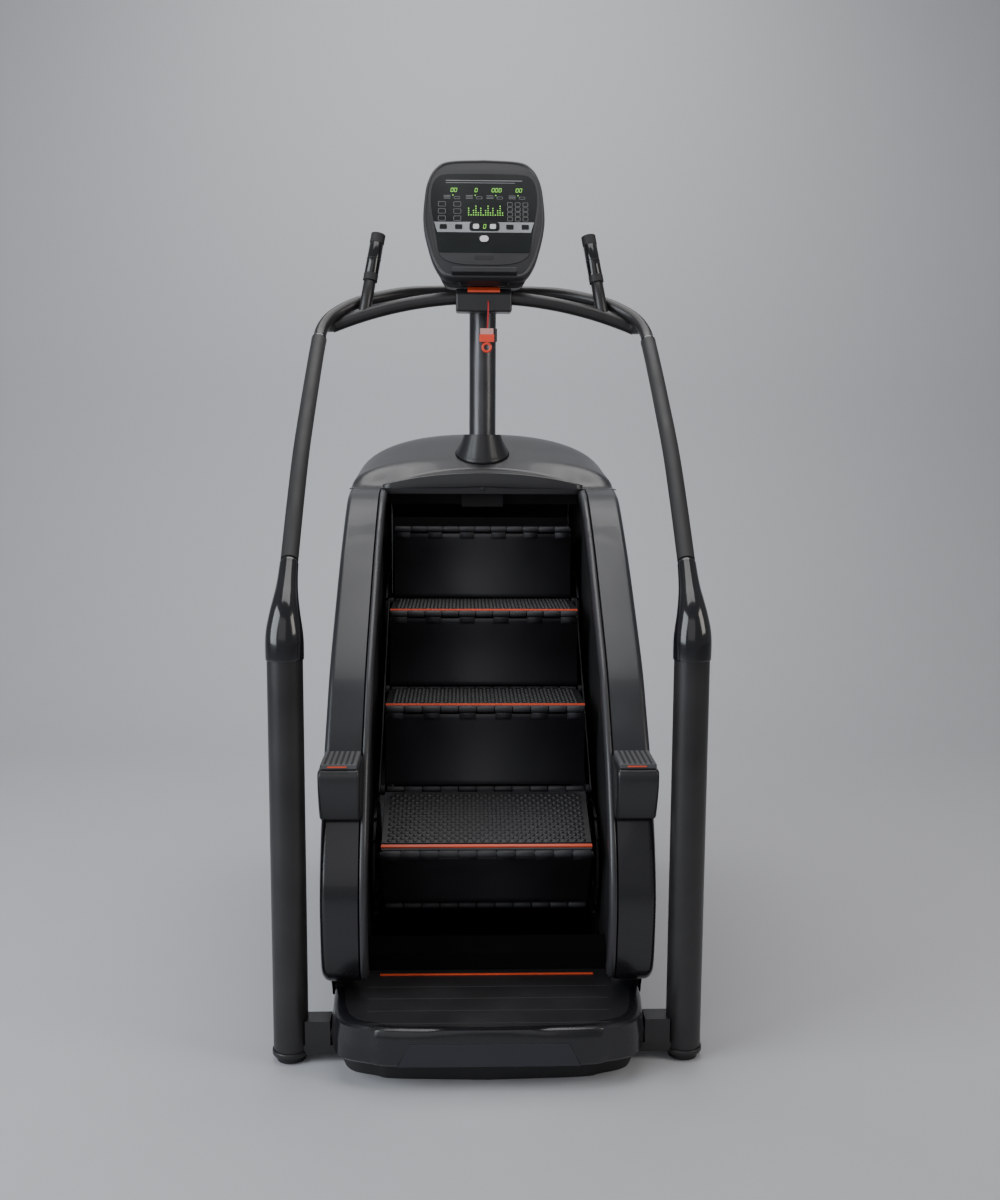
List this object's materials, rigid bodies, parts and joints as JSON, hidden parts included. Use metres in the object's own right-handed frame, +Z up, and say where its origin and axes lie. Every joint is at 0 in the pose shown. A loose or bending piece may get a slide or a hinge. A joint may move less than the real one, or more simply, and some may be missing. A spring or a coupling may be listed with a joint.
{
  "type": "stair climber",
  "caption": "Free-standing stair climbing machine with revolving steps, bent handrails on uprights, and a console on a mast.",
  "frame": {"origin": "middle of the overall footprint, on the floor", "axes": "+Z up, +Y forward as the user faces (towards the mast and rear cover), +X to the user's right"},
  "size_m": [0.968, 1.588, 2.1388],
  "materials": {
    "frame_steel": "satin dark powder coat",
    "upright_metal": "satin charcoal metallic",
    "mast_metal": "gloss dark metallic",
    "gloss_black": "glossy blue-black",
    "satin_plastic": "satin charcoal",
    "trim_plastic": "satin grey",
    "grip_rubber": "matt textured",
    "tread_rubber": "black dotted rubber",
    "edge_orange": "orange-red strip",
    "contact_metal": "glossy dark contact plate",
    "console_plastic": "satin dark grey",
    "console_gloss": "gloss black",
    "button_white": "pale grey",
    "stop_red": "gloss orange-red",
    "cord_red": "red woven cord",
    "clip_plastic": "orange-red moulded clip",
    "steel": "machined",
    "chain_steel": "oiled chain steel",
    "belt_rubber": "matt black",
    "wheel_rubber": "matt black"
  },
  "bodies": {
    "frame": {"base_frame": "frame_steel", "front_feet": "wheel_rubber", "upright_left": "upright_metal", "upright_right": "upright_metal", "sleeve_left": "gloss_black", "sleeve_right": "gloss_black", "handrail": "upright_metal", "grip_left": "grip_rubber", "grip_right": "grip_rubber", "front_crossbar": "upright_metal", "pulse_grip_left": "contact_metal", "pulse_grip_right": "contact_metal", "mast": "mast_metal", "mast_collar": "satin_plastic", "console_bracket": "frame_steel", "console_body": "console_plastic", "console_overlay": "console_gloss", "safety_box": "satin_plastic", "safety_cord": "cord_red", "safety_clip": "clip_plastic", "side_shell_left": "satin_plastic", "side_shell_right": "satin_plastic", "inner_trim_left": "trim_plastic", "inner_trim_right": "trim_plastic", "top_cap": "satin_plastic", "side_cap_left": "satin_plastic", "side_cap_right": "satin_plastic", "lower_shell_left": "gloss_black", "lower_shell_right": "gloss_black", "rear_cover": "satin_plastic", "base_skirt": "gloss_black", "platform": "gloss_black", "platform_insert": "gloss_black", "platform_strip": "edge_orange", "bearings": "steel", "drive_belt": "belt_rubber", "alternator": "steel", "wheel_axle": "steel", "power_inlet": "gloss_black"},
    "step_run": {"step_run": "tread_rubber", "step_strips": "edge_orange", "step_chain": "chain_steel"},
    "tread_one": {"tread_1": "tread_rubber", "tread_1_strip": "edge_orange"},
    "riser_one": {"riser_1": "tread_rubber"},
    "riser_four": {"riser_4": "tread_rubber"},
    "tread_four": {"tread_4": "tread_rubber"},
    "return_steps": {"return_run": "tread_rubber"},
    "lower_drum": {"lower_shaft": "steel"},
    "upper_drum": {"upper_shaft": "steel"},
    "alternator_rotor": {"alternator_pulley": "steel"},
    "start_button": {"start_button": "button_white"},
    "speed_up_key": {"speed_up_key": "button_white"},
    "speed_down_key": {"speed_down_key": "button_white"},
    "stop_bar": {"stop_bar": "stop_red"},
    "clip_lever": {"clip_lever": "gloss_black"},
    "wheel_left": {"wheel_left": "wheel_rubber"},
    "wheel_right": {"wheel_right": "wheel_rubber"},
    "rocker": {"rocker_switch": "stop_red"}
  },
  "joints": [
    {"name": "step_travel", "type": "slide", "parent": "frame", "child": "step_run", "axis": [0, -0.7623, -0.6473], "range_m": [-0.04, 0.04]},
    {"name": "tread_one_tilt", "type": "hinge", "parent": "step_run", "child": "tread_one", "pos_m": [0, -0.2305, 0.5065], "axis": [1, 0, 0], "range_deg": [-4, 4]},
    {"name": "riser_one_swing", "type": "hinge", "parent": "tread_one", "child": "riser_one", "pos_m": [0, -0.45375, 0.41311], "axis": [1, 0, 0], "range_deg": [-4, 4]},
    {"name": "riser_four_tilt", "type": "hinge", "parent": "step_run", "child": "riser_four", "pos_m": [0, 0.2535, 0.9175], "axis": [1, 0, 0], "range_deg": [-2, 2]},
    {"name": "tread_four_tilt", "type": "hinge", "parent": "riser_four", "child": "tread_four", "pos_m": [0, 0.2706, 1.122], "axis": [1, 0, 0], "range_deg": [-2, 2]},
    {"name": "return_travel", "type": "slide", "parent": "frame", "child": "return_steps", "axis": [0, 0.7623, 0.6473], "range_m": [-0.04, 0.04]},
    {"name": "lower_shaft_turn", "type": "hinge", "parent": "frame", "child": "lower_drum", "pos_m": [0, -0.21116, 0.32614], "axis": [1, 0, 0], "range_deg": [-16, 16]},
    {"name": "upper_shaft_turn", "type": "hinge", "parent": "frame", "child": "upper_drum", "pos_m": [0, 0.39788, 0.84332], "axis": [1, 0, 0], "range_deg": [-16, 16]},
    {"name": "alternator_turn", "type": "hinge", "parent": "frame", "child": "alternator_rotor", "pos_m": [0.34, 0.62, 0.56], "axis": [1, 0, 0], "range_deg": [-62, 62]},
    {"name": "start_press", "type": "slide", "parent": "frame", "child": "start_button", "axis": [0, 0.9397, -0.342], "range_m": [0, 0.0025], "stiffness_N_per_m": 600},
    {"name": "speed_up_press", "type": "slide", "parent": "frame", "child": "speed_up_key", "axis": [0, 0.9397, -0.342], "range_m": [0, 0.002], "stiffness_N_per_m": 600},
    {"name": "speed_down_press", "type": "slide", "parent": "frame", "child": "speed_down_key", "axis": [0, 0.9397, -0.342], "range_m": [0, 0.002], "stiffness_N_per_m": 600},
    {"name": "stop_press", "type": "slide", "parent": "frame", "child": "stop_bar", "axis": [0, 0.4706, -0.8824], "range_m": [0, 0.003], "stiffness_N_per_m": 1500},
    {"name": "clip_open", "type": "hinge", "parent": "frame", "child": "clip_lever", "pos_m": [0.031, 0.211, 1.6585], "axis": [0, 1, 0], "range_deg": [-8, 0], "stiffness_Nm_per_rad": 0.5},
    {"name": "wheel_left_roll", "type": "hinge", "parent": "frame", "child": "wheel_left", "pos_m": [-0.261, 0.725, 0.04], "axis": [1, 0, 0], "continuous": true},
    {"name": "wheel_right_roll", "type": "hinge", "parent": "frame", "child": "wheel_right", "pos_m": [0.261, 0.725, 0.04], "axis": [1, 0, 0], "continuous": true},
    {"name": "power_rocker", "type": "hinge", "parent": "frame", "child": "rocker", "pos_m": [-0.174, 0.742, 0.225], "axis": [1, 0, 0], "range_deg": [-8, 8]}
  ],
  "couplings": [
    {"joint": "tread_one_tilt", "follows": "step_travel", "rad_per_m": 1.6},
    {"joint": "riser_one_swing", "follows": "step_travel", "rad_per_m": 1.2},
    {"joint": "riser_four_tilt", "follows": "step_travel", "rad_per_m": 0.5},
    {"joint": "tread_four_tilt", "follows": "step_travel", "rad_per_m": 0.3},
    {"joint": "return_travel", "follows": "step_travel", "ratio": 1},
    {"joint": "lower_shaft_turn", "follows": "step_travel", "rad_per_m": 6.6667},
    {"joint": "upper_shaft_turn", "follows": "step_travel", "rad_per_m": 6.6667},
    {"joint": "alternator_turn", "follows": "step_travel", "rad_per_m": 26.667}
  ]
}
